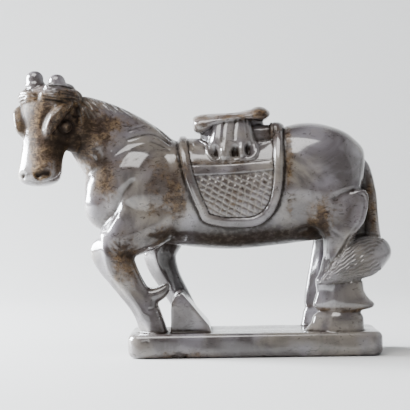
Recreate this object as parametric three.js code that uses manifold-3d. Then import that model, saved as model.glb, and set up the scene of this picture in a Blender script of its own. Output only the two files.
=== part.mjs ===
// A saddled horse and its base, carved from one block of grey jade, with the head turned to the horse's left.
// Millimetres, +Z up. The tail is towards +X and the horse's left side towards -Y. The origin is the centre of
// the base's underside.
import * as THREE from "three";
import { mergeVertices } from "three/addons/utils/BufferGeometryUtils.js";
import Module from "manifold-3d";

const wasm = await Module();
wasm.setup();

// Driving dimensions of the whole carving
const BASE = { length: 99.2, depth: 42, height: 9.6, edgeRound: 2.4, cornerRound: 5 };
const FOOT_Z = BASE.height - 0.6; // feet are sunk this far into the base, so that they join it
const LEG_Y = 12; // from the middle plane to the middle of each leg
const CLOTH_THICKNESS = 1.1;
const BORDER_THICKNESS = 2.3;
const MANE_THICKNESS = 0.6;
const SEAT_DROOP = 0.011; // how fast the seat falls away from its middle line
const HEAD = { x: -77.05, y: -6.4, turn: THREE.MathUtils.degToRad(58) };
const STONE = { color: 0x8f8a8c, roughness: 0.3, metalness: 0 };

// One closed geometry as a solid
function solid(geometry, place) {
  const bare = geometry.clone();
  bare.deleteAttribute("normal");
  bare.deleteAttribute("uv");
  if (place) bare.applyMatrix4(place);
  const merged = mergeVertices(bare, 1e-4);
  const vertProperties = merged.attributes.position.array;
  const triVerts = new Uint32Array(merged.index.array);
  return new wasm.Manifold(new wasm.Mesh({ numProp: 3, vertProperties, triVerts }));
}

const join = (solids) => solids.reduce((whole, piece) => whole.add(piece));

// A solid as a geometry with flat faces
function geometryOf(body) {
  const mesh = body.getMesh();
  const geometry = new THREE.BufferGeometry();
  geometry.setAttribute("position", new THREE.BufferAttribute(mesh.vertProperties, 3));
  geometry.setIndex(new THREE.BufferAttribute(mesh.triVerts, 1));
  geometry.computeVertexNormals();
  return geometry;
}

// A station of a loft: where its middle is, its half size in the spine's plane, and its half size across it
function station(x, y, z, thick, wide) {
  return { at: new THREE.Vector3(x, y, z), size: new THREE.Vector3(thick, wide, 0) };
}

const superEllipse = (c, square) => Math.sign(c) * Math.abs(c) ** (2 / square);

// A skin drawn over stations, from a cylinder whose rings are moved along the spine. square is 2 for an ellipse
// and more for a squarer section, level keeps the rings flat, grow is added to every half size, flutes are
// shallow ridges along it, and droop lowers what is away from the middle plane.
function loft(stations, options = {}) {
  const { sides = 12, rings = 9, square = 2.3, across = [0, 1, 0], level = false } = options;
  const { grow = 0, flutes, droop = 0, place } = options;
  const spine = new THREE.CatmullRomCurve3(stations.map((s) => s.at));
  const sizes = new THREE.CatmullRomCurve3(stations.map((s) => s.size));
  const geometry = new THREE.CylinderGeometry(1, 1, 1, sides, rings);
  const position = geometry.attributes.position;
  const point = new THREE.Vector3();
  for (let i = 0; i < position.count; i += 1) {
    point.fromBufferAttribute(position, i);
    const t = THREE.MathUtils.clamp(0.5 - point.y, 0, 1);
    const tangent = level ? new THREE.Vector3(0, 0, -1) : spine.getTangent(t);
    const thickWay = new THREE.Vector3().crossVectors(tangent, new THREE.Vector3(...across)).normalize();
    const wideWay = new THREE.Vector3().crossVectors(thickWay, tangent);
    const size = sizes.getPoint(t);
    const ridge = flutes ? 1 + flutes.depth * Math.cos(flutes.count * Math.atan2(point.x, point.z)) : 1;
    const wide = superEllipse(point.x, square) * (size.y + grow) * ridge;
    const thick = superEllipse(point.z, square) * (size.x + grow) * ridge;
    point.copy(spine.getPoint(t)).addScaledVector(wideWay, wide).addScaledVector(thickWay, thick);
    point.z -= droop * point.y ** 2;
    position.setXYZ(i, ...point);
  }
  return solid(geometry, place);
}

// A loft over level sections, from the top down: height, X from and to, and half width across
function stack(rows, { y = 0, ...options } = {}) {
  const stations = rows.map(([z, from, to, half]) => station((from + to) / 2, y, z, (to - from) / 2, half));
  return loft(stations, { rings: rows.length - 1, level: true, ...options });
}

// An ellipsoid
function ball([x, y, z], [rx, ry, rz], { place, detail = 10 } = {}) {
  const geometry = new THREE.SphereGeometry(1, detail, Math.round(detail * 0.7));
  geometry.scale(rx, ry, rz).translate(x, y, z);
  return solid(geometry, place);
}

// An outline drawn in X and Z, given depth from nearY to farY, with its edges rounded
function slab(outline, nearY, farY, round = 1, bevelSegments = 2) {
  const geometry = new THREE.ExtrudeGeometry(outline, {
    depth: farY - nearY - 2 * round,
    bevelEnabled: round > 0,
    bevelThickness: round,
    bevelSize: round,
    bevelOffset: -round,
    bevelSegments,
    curveSegments: 4,
  });
  geometry.rotateX(Math.PI / 2).translate(0, farY - round, 0);
  return solid(geometry);
}

const polygon = (...corners) => new THREE.Shape(corners.map(([x, z]) => new THREE.Vector2(x, z)));

// The flat base, with round corners and soft edges
function base() {
  const { length, depth, height, edgeRound, cornerRound } = BASE;
  const [x, y, r] = [length / 2, depth / 2, cornerRound];
  const plan = new THREE.Shape();
  plan.moveTo(-x + r, -y).lineTo(x - r, -y).absarc(x - r, -y + r, r, -Math.PI / 2, 0);
  plan.absarc(x - r, y - r, r, 0, Math.PI / 2).absarc(-x + r, y - r, r, Math.PI / 2, Math.PI);
  plan.absarc(-x + r, -y + r, r, Math.PI, Math.PI * 1.5);
  const geometry = new THREE.ExtrudeGeometry(plan, {
    depth: height - 2 * edgeRound,
    bevelThickness: edgeRound,
    bevelSize: edgeRound,
    bevelOffset: -edgeRound,
    bevelSegments: 2,
    curveSegments: 4,
  });
  return solid(geometry.translate(0, 0, edgeRound));
}

const TRUNK = [
  station(-66.8, 0, 61, 3, 5),
  station(-64.5, 0, 61.5, 9, 10),
  station(-58, 0, 63, 14.5, 15),
  station(-48, 0, 65, 18.2, 17.5),
  station(-30, 0, 64.5, 20.8, 17.6),
  station(-10, 0, 63, 21.3, 17.6),
  station(8, 0, 64.6, 21.6, 17.8),
  station(22, 0, 68.2, 23.6, 18.6),
  station(34, 0, 69.8, 20.4, 18.4),
  station(41, 0, 70.3, 15, 15.5),
  station(44, 0, 70, 7, 9),
];

// The trunk with the muscles of its shoulders, swelled by grow
function trunk(grow = 0) {
  const blade = [17.6, 11, 19].map((radius) => radius + grow);
  const blades = [-1, 1].map((side) => ball([-43.5, 8.6 * side, 65], blade, { detail: 12 }));
  return join([loft(TRUNK, { sides: 20, rings: 13, square: 2.35, grow }), ...blades]);
}

const NECK = [
  station(-42, 0, 68, 21, 15.5),
  station(-50, 0, 77.5, 18.4, 13),
  station(-58.5, -0.8, 86, 15, 10.8),
  station(-66.5, -3, 91.5, 12, 9.6),
  station(-72, -6, 93, 10, 8.6),
];
const neck = (grow = 0) => loft(NECK, { sides: 16, rings: 7, square: 2.1, grow });

// The mane lies on the crest of the neck, a little proud of it
function mane() {
  const lower = [[-66, 93], [-60, 92], [-52, 88], [-46, 87], [-38, 84.5], [-30, 82]];
  const lie = polygon([-68, 108], ...lower, [-29, 100]);
  return neck(MANE_THICKNESS).intersect(slab(lie, -16, 16, 0));
}

// Muscles of the chest
function chest() {
  return join([-1, 1].map((side) => ball([-58.5, 6 * side, 60.5], [8.6, 8.5, 11], { detail: 9 })));
}

// One foreleg: the forearm, and the shank that runs down from the knee to the hoof
function foreleg(forearm, shank) {
  return loft(forearm, { sides: 10, rings: 4 }).add(loft(shank, { sides: 10, rings: 8, square: 3 }));
}

function forelegs() {
  const near = foreleg(
    [
      station(-40, -9, 60, 16, 9),
      station(-45, -10.5, 53, 13, 8.8),
      station(-51, -LEG_Y, 47.5, 9.6, 7.8),
      station(-57, -LEG_Y, 43, 6.8, 6.6),
    ],
    [
      station(-57.4, -LEG_Y, 47.4, 4.4, 4.4),
      station(-56.8, -LEG_Y, 43.6, 7.6, 6.6),
      station(-54.4, -LEG_Y, 37.6, 7.6, 6.5),
      station(-51.6, -LEG_Y, 32.6, 6.6, 6),
      station(-48.4, -LEG_Y, 27.6, 5.8, 5.5),
      station(-44.8, -LEG_Y, 22, 5.2, 5.3),
      station(-42, -LEG_Y, 17, 5.3, 5.7),
      station(-40.2, -LEG_Y, 12, 5.4, 6.1),
      station(-39.5, -LEG_Y, FOOT_Z, 5.6, 6.3),
    ],
  );
  const spur = loft(
    [
      station(-45, -LEG_Y, 23.6, 3.4, 4.6),
      station(-41.6, -LEG_Y, 24, 3.2, 4.7),
      station(-38, -LEG_Y, 24.8, 2.9, 4.4),
      station(-35.2, -LEG_Y, 26.6, 2.3, 3.6),
      station(-33.8, -LEG_Y, 29.2, 0.5, 1.2),
    ],
    { sides: 8, rings: 5 },
  );
  const far = foreleg(
    [station(-34, 8, 60, 14, 9), station(-35, 10, 50, 9.6, 7.6), station(-37.3, LEG_Y, 41, 6.6, 6.4)],
    [
      station(-37.8, LEG_Y, 44, 3.4, 4),
      station(-37.7, LEG_Y, 41, 6.2, 6.3),
      station(-36.8, LEG_Y, 35.5, 6.2, 6),
      station(-33, LEG_Y, 27.5, 5, 5.3),
      station(-29, LEG_Y, 20, 4.6, 5.2),
      station(-26.4, LEG_Y, 13.5, 5.3, 5.8),
      station(-26, LEG_Y, FOOT_Z, 5.6, 6.2),
    ],
  );
  return join([near, spur, far, rock()]);
}

// The pointed rock between the forefeet, which steadies the far foot
function rock() {
  const crest = [[-17.8, 12.4], [-26.6, 23], [-28.4, 25.2], [-30.2, 24.8], [-32.5, 21.4]];
  return slab(polygon([-33.2, FOOT_Z], [-16.6, FOOT_Z], ...crest), -16, 13, 0.8, 1);
}

// The hind legs from the thigh down, with the fetlock's spur and the broad hoof
const NEAR_HIND_LEG = [
  [66.6, 28, 38, 3],
  [62.6, 23, 41.6, 6],
  [56, 22.4, 42.4, 6.4],
  [48, 26.6, 40.4, 6],
  [42.5, 28, 38, 5.6],
  [37, 26.8, 36.6, 5.4],
  [32, 25.2, 37.4, 5.6],
  [29.4, 23.6, 42.2, 6.6],
  [25, 24.2, 42.8, 7],
  [21.8, 23.4, 44.8, 7.2],
  [20, 22.8, 46.9, 7.2],
  [18.4, 23.4, 45.8, 7],
  [17.5, 25.2, 40.8, 6],
  [16.7, 24.8, 41, 6.2],
  [15.7, 22.8, 42.4, 7.2],
  [13, 22, 42.8, 7.5],
  [10.2, 19.8, 42.8, 7.7],
  [FOOT_Z, 20.2, 42.8, 7.7],
];
const FAR_HIND_LEG = [
  [66.6, 26, 36, 3],
  [62.6, 21.6, 41, 6],
  [56, 22, 41.4, 6.4],
  [48, 25, 38.4, 6],
  [42.5, 24.6, 35, 5.6],
  [37, 23.6, 34, 5.4],
  [32, 22.7, 34.4, 5.6],
  [29.4, 22.2, 39.2, 6.6],
  [25, 21.5, 40, 7],
  [20, 20.6, 43.9, 7.2],
  [18.4, 20.6, 42.8, 7],
  [17.5, 21.2, 38, 6.2],
  [16.7, 21, 38.2, 6.4],
  [15.7, 20.2, 39.4, 7.2],
  [10.2, 19.4, 39.8, 7.7],
  [FOOT_Z, 19.4, 39.8, 7.7],
];

// The hind legs with their thighs, and a fin that stands out behind each hock
function hindLegs() {
  const finBack = [[43.2, 64.6], [44.8, 62.4], [44.6, 57], [43, 52], [40, 48], [36, 44.6]];
  const fin = polygon([30, 49], [28, 58], [34, 62.6], [38.4, 64.2], ...finBack);
  const legs = [-1, 1].map((side) => {
    const thigh = loft(
      [
        station(27, 8.5 * side, 74, 15.5, 10),
        station(28.5, 10 * side, 65, 14.6, 9.4),
        station(31.5, 11.4 * side, 56, 11.4, 7.6),
        station(33.2, LEG_Y * side, 48, 7, 5.8),
        station(32.4, LEG_Y * side, 38, 4.8, 5),
      ],
      { sides: 10, rings: 6 },
    );
    const rows = side < 0 ? NEAR_HIND_LEG : FAR_HIND_LEG;
    const shown = side < 0 ? slab(fin, -18.2, -7, 1.1, 1) : slab(fin, 7, 18.2, 1.1, 1);
    return join([thigh, stack(rows, { y: LEG_Y * side, square: 4 }), shown]);
  });
  return join(legs);
}

// The tail hangs behind the rump, held by a web, then its brush sweeps forward across the left hock to a point
function tail() {
  const dock = [
    station(40.2, 0, 76.4, 3.4, 4.4),
    station(44, 0, 73.2, 3.1, 4.7),
    station(46.1, 0, 66, 3, 4.9),
    station(47.2, -0.5, 56, 2.9, 5.1),
    station(47.6, -2, 48, 3.1, 5.3),
    station(48, -4, 41, 3.4, 5.4),
  ];
  const web = [
    station(40, 0, 74, 4, 3.4),
    station(42.5, 0, 66, 4.5, 3.6),
    station(43.5, 0, 56, 5, 3.8),
    station(44, -1, 47, 5.4, 4),
    station(45, -3, 41, 5, 4.2),
  ];
  const brush = [
    station(52.4, -2.5, 39.6, 1.4, 1.6),
    station(51.2, -4, 39.8, 4.7, 4.4),
    station(47.6, -8, 39.6, 7.3, 5.8),
    station(42.2, -13, 37.6, 8, 5.4),
    station(35, -16.6, 34, 5.6, 4),
    station(28.6, -18.4, 30.2, 2.6, 2.4),
    station(24, -19, 28, 0.5, 0.8),
  ];
  return join([
    loft(dock, { sides: 10, rings: 6 }),
    loft(web, { sides: 6, rings: 4 }),
    loft(brush, { sides: 20, rings: 10, square: 2, flutes: { count: 10, depth: 0.045 } }),
  ]);
}

// The outline of the saddle cloth and, set in by the border's width, of its field
function clothOutline(inset) {
  const [front, back, low, top] = [-29 + inset, 12.2 - inset, 51 + inset, 100];
  const cloth = new THREE.Shape();
  cloth.moveTo(front, top).lineTo(front, 86).lineTo(front + 2.2, 70.5);
  cloth.bezierCurveTo(front + 4.6, 61, front + 8, low + 1.5, front + 19, low + 0.4);
  cloth.bezierCurveTo(front + 30, low - 0.8, back - 1.4, low + 1, back - 0.9, 70.5);
  cloth.lineTo(back, 86).lineTo(back, top);
  return cloth;
}

// The saddle cloth lies on the trunk. Its border, and the band across it, stand above the two fields.
function saddleCloth() {
  const borderWidth = 3.8;
  const side = TRUNK[5].size.y + 4;
  const field = slab(clothOutline(borderWidth), -side, side, 0);
  const bandEdge = [[-29, 74.6], [-10, 74.8], [12, 76.8], [12, 73], [-10, 70.9], [-29, 70.6]];
  const band = slab(polygon(...bandEdge), -side, side, 0);
  const border = slab(clothOutline(0), -side, side, 0).subtract(field.subtract(band));
  const cloth = trunk(CLOTH_THICKNESS).intersect(slab(clothOutline(0), -side, side, 0));
  return cloth.add(trunk(BORDER_THICKNESS).intersect(border));
}

// The saddle: a thin padded seat raised at the back, a skirt with three arches in its hem on each side, and the
// pad behind it
function saddle() {
  const seat = loft(
    [
      station(-23.2, 0, 90.8, 0.8, 7.4),
      station(-22.4, 0, 90.9, 2.9, 10),
      station(-20.6, 0, 91.7, 3.7, 11.6),
      station(-17, 0, 93, 2.9, 12.2),
      station(-13.4, 0, 94, 1.9, 12.4),
      station(-9, 0, 94.5, 1.5, 12.5),
      station(-5, 0, 95, 1.4, 12.6),
      station(-1, 0, 95.5, 1.9, 12.6),
      station(2.6, 0, 95.9, 2.6, 12.4),
      station(5.4, 0, 95.6, 2.3, 11.8),
      station(7.1, 0, 95.1, 0.9, 9),
    ],
    { sides: 14, rings: 10, square: 2.7, droop: SEAT_DROOP },
  );
  const skirt = stack(
    [
      [95, -15, -0.8, 10.4],
      [91, -15.8, 0, 12.2],
      [86, -17, 1.4, 13.8],
      [81.5, -18.2, 3, 15],
      [78.8, -18.8, 3.8, 15.8],
      [77.2, -18.6, 3.6, 15.9],
    ],
    { sides: 12, square: 5 },
  );
  const body = stack([[94, -20, 4.6, 8.6], [86, -20.6, 5.4, 11], [78, -21.6, 6.4, 12.6]], { square: 3 });
  const pad = stack([[90.7, -4, 10.8, 6.4], [90.2, -5, 11.6, 8.8], [84, -6, 12, 12]], { square: 4 });
  const arches = [[-15, 79, 1.7], [-6.9, 79.2, 1.6], [-1.5, 80.6, 1.4]].map(([x, z, r]) => {
    const cutter = new THREE.CylinderGeometry(r, r, 60, 8);
    return solid(cutter.scale(1, 1, 1.7).translate(x, 0, z));
  });
  return join([arches.reduce((rest, arch) => rest.subtract(arch), skirt), seat, body, pad]);
}

// The head is drawn facing +X with its left side towards +Y, then turned to its place on the neck
function head() {
  const place = new THREE.Matrix4().makeRotationZ(Math.PI + HEAD.turn).setPosition(HEAD.x, HEAD.y, 0);
  // From the crown down to the chin: height, back, front and half width of each section
  const skull = stack(
    [
      [107.6, 2, 7.6, 3],
      [106.4, -1.5, 10.4, 6.6],
      [103.5, -4.6, 12.8, 8.6],
      [99.5, -6.8, 14.5, 9.8],
      [95, -8, 15.3, 10.4],
      [90.5, -8, 15.2, 10.2],
      [86, -5.6, 15.2, 9.2],
      [82, 0.6, 15.8, 8.4],
      [78, 3.6, 16.8, 8.5],
      [74.4, 4.4, 17.8, 8.9],
      [71, 5.2, 18, 8.7],
      [68.8, 6.6, 16.8, 7],
      [67.4, 9, 13.6, 3],
    ],
    { sides: 16, square: 2.7, place },
  );
  const sides = [-1, 1];
  const brows = sides.map((b) =>
    loft(
      [
        station(5.6, 9.4 * b, 99.4, 0.5, 0.6),
        station(8.8, 9.6 * b, 98, 1.7, 1.9),
        station(12, 9 * b, 96, 2.2, 2.4),
        station(13.6, 8 * b, 93.4, 2.5, 2.6),
        station(14.4, 7.1 * b, 90.6, 2.4, 2.5),
        station(14.6, 6.4 * b, 88.2, 1.8, 1.9),
        station(14.4, 6 * b, 86.4, 0.5, 0.6),
      ],
      { sides: 8, rings: 6, square: 2, place },
    ),
  );
  const cheeks = sides.map((b) => ball([-2.4, 6.6 * b, 89.4], [8, 4.8, 9.2], { place }));
  const sockets = sides.map((b) => ball([7.6, 12.3 * b, 90.9], [3.6, 3, 3.6], { place, detail: 8 }));
  const eyes = sides.map((b) => ball([7.9, 9.5 * b, 90.9], [2.8, 2.2, 2.6], { place, detail: 9 }));
  const nostrils = sides.map((b) => ball([17.6, 5.2 * b, 72], [2, 2.2, 1.4], { place, detail: 8 }));
  const ears = [
    ball([7.2, -5.3, 109.9], [3.2, 3.8, 3.3], { place, detail: 9 }),
    ball([7.2, -5.2, 106.8], [3.6, 4.2, 3.2], { place, detail: 7 }),
    ball([7, 5.5, 108.2], [3.1, 3.3, 3.1], { place, detail: 9 }),
  ];
  const nearLock = [
    station(13.4, 1.8, 102.6, 0.8, 1.2),
    station(12.6, 3.4, 102.6, 2, 2.2),
    station(10.6, 7, 102.8, 2.3, 2.8),
    station(6.4, 9.2, 102.6, 2.2, 3.2),
    station(1, 9.6, 102, 1.9, 3.4),
    station(-4, 8.4, 101, 1.2, 2.8),
  ];
  const farLock = [
    station(13.6, 0.6, 101.4, 0.8, 1),
    station(12.6, -2.2, 102, 2.2, 2.3),
    station(11.6, -5.4, 102.2, 2.7, 2.9),
    station(9.8, -8, 102.4, 2.9, 3.2),
    station(6, -9, 102.4, 2.5, 3.3),
    station(1, -9.2, 102, 1.9, 3.4),
    station(-4, -8.4, 101, 1.2, 2.8),
  ];
  const band = [
    station(11.4, 2.6, 106, 0.5, 0.5),
    station(7.4, 7, 106.4, 1.9, 1.5),
    station(2.6, 8.2, 106, 1.8, 1.6),
    station(-1.6, 7.4, 105.2, 0.8, 0.9),
  ];
  const combed = { sides: 8, rings: 6, square: 2.2, across: [0, 0, 1], place };
  const hair = [nearLock, farLock, band].map((rows) => loft(rows, combed));
  const formed = sockets.reduce((rest, hollow) => rest.subtract(hollow), join([skull, ...brows, ...cheeks]));
  const whole = join([formed, ...eyes, ...ears, ...hair]);
  return nostrils.reduce((rest, hole) => rest.subtract(hole), whole);
}

const body = join([
  base(),
  trunk(),
  neck(),
  mane(),
  chest(),
  forelegs(),
  hindLegs(),
  tail(),
  saddleCloth(),
  saddle(),
  head(),
]);

const carving = new THREE.Mesh(geometryOf(body), new THREE.MeshStandardMaterial(STONE));
carving.name = "horse_carving";
const part = new THREE.Group().add(carving);

export default part;
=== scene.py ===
"""Visual model of a saddled horse carved from one block of grey jade, with its base.

Every form is built in millimetres, with +Z up, the tail towards +X and the horse's left side towards -Y. The
forms are fused into one skin, polished, cut with the carver's lines and then scaled to metres.
"""

import logging
import math
from collections.abc import Iterable
from dataclasses import dataclass
from enum import Enum
from functools import partial

import bmesh
import bpy
import numpy as np
from mathutils import Matrix, kdtree


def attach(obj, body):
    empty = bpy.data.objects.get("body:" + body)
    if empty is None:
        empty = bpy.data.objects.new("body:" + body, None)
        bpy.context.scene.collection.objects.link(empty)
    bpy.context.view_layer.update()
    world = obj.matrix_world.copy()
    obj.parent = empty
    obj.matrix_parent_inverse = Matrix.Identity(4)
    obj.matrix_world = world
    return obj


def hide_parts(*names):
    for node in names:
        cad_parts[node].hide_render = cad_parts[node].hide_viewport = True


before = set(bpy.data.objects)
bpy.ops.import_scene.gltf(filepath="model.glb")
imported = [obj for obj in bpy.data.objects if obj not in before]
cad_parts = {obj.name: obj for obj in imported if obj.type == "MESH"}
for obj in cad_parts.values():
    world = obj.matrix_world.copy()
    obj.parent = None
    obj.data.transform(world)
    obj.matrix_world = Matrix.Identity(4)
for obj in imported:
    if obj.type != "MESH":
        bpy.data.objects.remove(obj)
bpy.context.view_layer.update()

log = logging.getLogger("horse_carving")

METRE = 0.001
HEAD_TURN = math.radians(58)
HEAD_X, HEAD_Y = -77.05, -6.4
LEG_Y = 12.0
LEG_FACETS = ((225.0, 0.86), (315.0, 0.86))
FLESH_VOXEL = 0.6
FLESH_POLISH = 14
SKULL_POLISH = 12
SKIN_VOXEL = 0.4
SKIN_POLISH = 3
TRIANGLES = 196_000
# groove and hollow darken carved lines and recesses with painted shade and some dirt; scored and stain are
# the stone's own marks.
MASKS = ("groove", "hollow", "scored", "stain")
TRUNK_BOX = (-34, 16, 47)
HEAD_FROM, HEAD_OVER, MUZZLE_UNDER = -62, 66, 76

Row = tuple[float, ...]
Socket = bpy.types.NodeSocket
Path2D = tuple[tuple[float, float], ...]


class Side(Enum):
    """The horse's sides. The value is the sign of Y."""

    NEAR = -1
    FAR = 1


# Curves and forms


def catmull_rom(rows: np.ndarray, t: np.ndarray) -> np.ndarray:
    """Interpolate rows of numbers with a Catmull-Rom spline.

    Args:
        rows: The control points.
        t: Where to read the spline, from 0 to 1.

    Returns:
        One row for each t.
    """
    last = len(rows) - 1
    place = np.clip(t, 0, 1) * last
    index = np.minimum(place.astype(int), last - 1)
    u = (place - index)[:, None]
    padded = np.vstack([2 * rows[0] - rows[1], rows, 2 * rows[-1] - rows[-2]])
    a, b, c, d = (padded[index + k] for k in range(4))
    return 0.5 * (2 * b + (c - a) * u + (2 * a - 5 * b + 4 * c - d) * u**2 + (3 * b - a - 3 * c + d) * u**3)


def smoothstep(low: float, high: float, value: np.ndarray) -> np.ndarray:
    """Ease from 0 at low to 1 at high.

    Args:
        low: Where the result is 0.
        high: Where it is 1.
        value: The values.

    Returns:
        The eased values.
    """
    u = np.clip((value - low) / (high - low), 0, 1)
    return u * u * (3 - 2 * u)


def bell(offset: np.ndarray, width: float) -> np.ndarray:
    """Draw a bell curve of height 1.

    Args:
        offset: The distance from its middle.
        width: Its width.

    Returns:
        Its height.
    """
    return np.exp(-((offset / width) ** 2))


def unit(vectors: np.ndarray) -> np.ndarray:
    """Scale each vector to length 1.

    Args:
        vectors: One in each row.

    Returns:
        The unit vectors.
    """
    return vectors / np.maximum(np.linalg.norm(vectors, axis=1, keepdims=True), 1e-9)


def as_mesh(bm: bmesh.types.BMesh, place: Matrix | None) -> bpy.types.Mesh:
    """Turn a bmesh into a mesh with outward normals.

    Args:
        bm: The bmesh, which is freed.
        place: Where it goes, if it moves.

    Returns:
        The mesh.
    """
    if place is not None:
        bmesh.ops.transform(bm, matrix=place, verts=bm.verts)
    bmesh.ops.recalc_face_normals(bm, faces=bm.faces)
    mesh = bpy.data.meshes.new("form")
    bm.to_mesh(mesh)
    bm.free()
    return mesh


def loft(
    stations: tuple[Row, ...],
    sides: int = 56,
    rings: int = 60,
    square: float = 2.3,
    across: Row = (0, 1, 0),
    level: bool = False,
    facets: Path2D = (),
    place: Matrix | None = None,
) -> bpy.types.Mesh:
    """Draw a skin over stations along a curved spine.

    Args:
        stations: Rows of the middle's X, Y and Z and the half sizes in the spine's plane and across.
        sides: The corners of each ring.
        rings: The bands along the spine.
        square: 2 for an ellipse, and more for a squarer section.
        across: The direction of the second half size.
        level: Whether the rings stay level instead of square to the spine.
        facets: The directions of flat sides in degrees, and how far out they are.
        place: Where it goes, if it moves.

    Returns:
        The closed form.
    """
    bm = bmesh.new()
    bmesh.ops.create_cone(bm, cap_ends=True, segments=sides, radius1=1, radius2=1, depth=1)
    upright = [e for e in bm.edges if abs(e.verts[0].co.z - e.verts[1].co.z) > 0.5]
    bmesh.ops.subdivide_edges(bm, edges=upright, cuts=rings - 1, use_grid_fill=True)
    tube = np.array([v.co for v in bm.verts])
    rows = np.array(stations, dtype=float)
    t = 0.5 - tube[:, 2]
    spine, size = catmull_rom(rows[:, :3], t), np.maximum(catmull_rom(rows[:, 3:], t), 0.05)
    step = 1e-3
    ahead, behind = catmull_rom(rows[:, :3], t + step), catmull_rom(rows[:, :3], t - step)
    tangent = np.tile((0.0, 0.0, -1.0), (len(t), 1)) if level else unit(ahead - behind)
    thick_way = unit(np.cross(tangent, across))
    wide_way = np.cross(thick_way, tangent)
    section = np.sign(tube[:, :2]) * np.abs(tube[:, :2]) ** (2 / square)
    for angle, out in facets:
        way = np.array([math.cos(math.radians(angle)), math.sin(math.radians(angle))])
        section -= np.maximum(section @ way - out, 0)[:, None] * way
    placed = spine + wide_way * (section[:, :1] * size[:, 1:2]) + thick_way * (section[:, 1:] * size[:, :1])
    for vert, point in zip(bm.verts, placed):
        vert.co = point
    return as_mesh(bm, place)


def stack(rows: tuple[Row, ...], y: float = 0.0, **options: object) -> bpy.types.Mesh:
    """Draw a skin over level sections, from the top down.

    Args:
        rows: Rows of height, lowest X, highest X and half width.
        y: The middle of every section.
        **options: What loft takes.

    Returns:
        The closed form.
    """
    stations = tuple(((a + b) / 2, y, z, (b - a) / 2, half) for z, a, b, half in rows)
    return loft(stations, level=True, **options)


def ball(centre: Row, radii: Row, place: Matrix | None = None) -> bpy.types.Mesh:
    """Make an ellipsoid.

    Args:
        centre: Its middle.
        radii: Its half sizes.
        place: Where it goes, if it moves.

    Returns:
        The closed form.
    """
    bm = bmesh.new()
    bmesh.ops.create_uvsphere(bm, u_segments=48, v_segments=32, radius=1)
    shape = Matrix.Translation(centre) @ Matrix.Diagonal((*radii, 1))
    bmesh.ops.transform(bm, matrix=shape, verts=bm.verts)
    return as_mesh(bm, place)


def prism(
    outline: Path2D,
    near_y: float,
    far_y: float,
    round_by: float,
    rim_only: bool = False,
    place: Matrix | None = None,
) -> bpy.types.Mesh:
    """Give depth to an outline drawn in X and Z, and round its edges.

    Args:
        outline: The corners.
        near_y: Where it starts.
        far_y: Where it ends.
        round_by: How much the edges are rounded.
        rim_only: Whether only the two flat faces' edges are rounded.
        place: Where it goes, if it moves.

    Returns:
        The closed form.
    """
    bm = bmesh.new()
    bmesh.ops.create_circle(bm, cap_ends=True, segments=len(outline), radius=1)
    for vert, (x, z) in zip(bm.verts, outline):
        vert.co = (x, near_y, z)
    grown = bmesh.ops.extrude_face_region(bm, geom=bm.faces[:])["geom"]
    moved = [item for item in grown if isinstance(item, bmesh.types.BMVert)]
    bmesh.ops.translate(bm, vec=(0, far_y - near_y, 0), verts=moved)
    edges = [e for e in bm.edges if not rim_only or abs(e.verts[0].co.y - e.verts[1].co.y) < 1e-4]
    bmesh.ops.bevel(bm, geom=edges, offset=round_by, segments=5, profile=0.5, affect="EDGES", material=-1)
    return as_mesh(bm, place)


# The parts of the carving


@dataclass(frozen=True)
class Base:
    """The flat base under the feet."""

    length: float = 99.2
    depth: float = 42.0
    height: float = 9.6
    corner: float = 5.0
    edge: float = 2.4

    def forms(self) -> list[bpy.types.Mesh]:
        """Build the base.

        Returns:
            One closed form.
        """
        turns = np.radians(np.arange(2.5, 360, 5))
        way = np.stack([np.cos(turns), np.sin(turns)], 1)
        inner = np.array((self.length, self.depth)) / 2 - self.corner
        plan = tuple((x, z) for x, z in np.sign(way) * inner + way * self.corner)
        upright = Matrix.Rotation(math.pi / 2, 4, "X")
        return [prism(plan, 0, self.height, self.edge, rim_only=True, place=upright)]


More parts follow.
